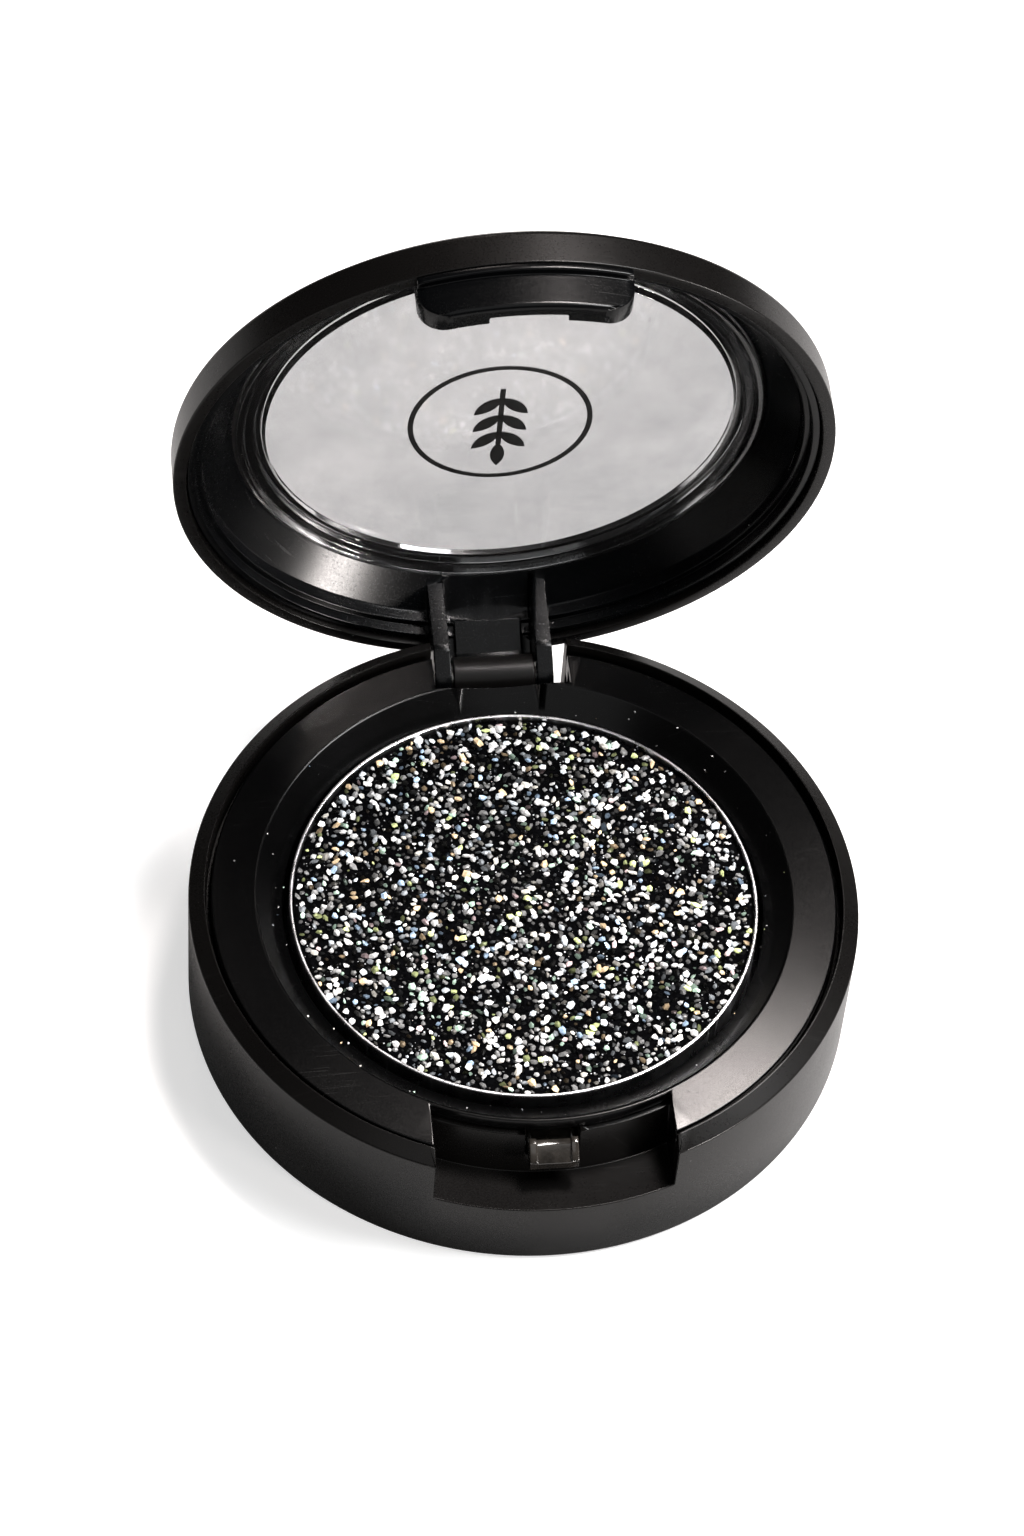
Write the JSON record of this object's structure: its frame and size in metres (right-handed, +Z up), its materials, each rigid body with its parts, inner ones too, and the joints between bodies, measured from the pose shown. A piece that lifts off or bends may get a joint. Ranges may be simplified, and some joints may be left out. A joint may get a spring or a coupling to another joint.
{
  "type": "eyeshadow palette",
  "caption": "Round flip-lid compact holding one pan of pressed glitter eyeshadow, with a clear window in its lid, a thumb notch and a pinned hinge.",
  "frame": {"origin": "centre of the flat underside that stands on the table", "axes": "+Z up out of the base, -Y towards the thumb notch, +Y towards the hinge"},
  "size_m": [0.0376, 0.0429, 0.0419],
  "materials": {
    "shell_plastic": "satin black moulded plastic with a fine spark texture",
    "tray_plastic": "matt black moulded plastic",
    "adhesive": "soft double-sided adhesive",
    "pan_metal": "bright tinned sheet steel",
    "glitter_cake": "black pressed powder packed with silver and iridescent glitter",
    "catch_plastic": "polished dark plastic",
    "pin_steel": "drawn steel wire",
    "label_paper": "coated white label paper",
    "liner_plastic": "semi-gloss black moulded plastic",
    "window_clear": "clear polished plastic",
    "print_ink": "black screen-printed ink"
  },
  "bodies": {
    "base": {"base_shell": "shell_plastic", "tray_insert": "tray_plastic", "pan_adhesive": "adhesive", "pan": "pan_metal", "shadow_cake": "glitter_cake", "front_catch": "catch_plastic", "hinge_pin": "pin_steel", "base_label": "label_paper"},
    "lid": {"lid_shell": "shell_plastic", "lid_liner": "liner_plastic", "window": "window_clear", "window_print": "print_ink"}
  },
  "joints": [
    {"name": "lid_hinge", "type": "hinge", "parent": "base", "child": "lid", "pos_m": [0, 0.0171, 0.006], "axis": [-1, 0, 0], "range_deg": [-85, 20]}
  ]
}
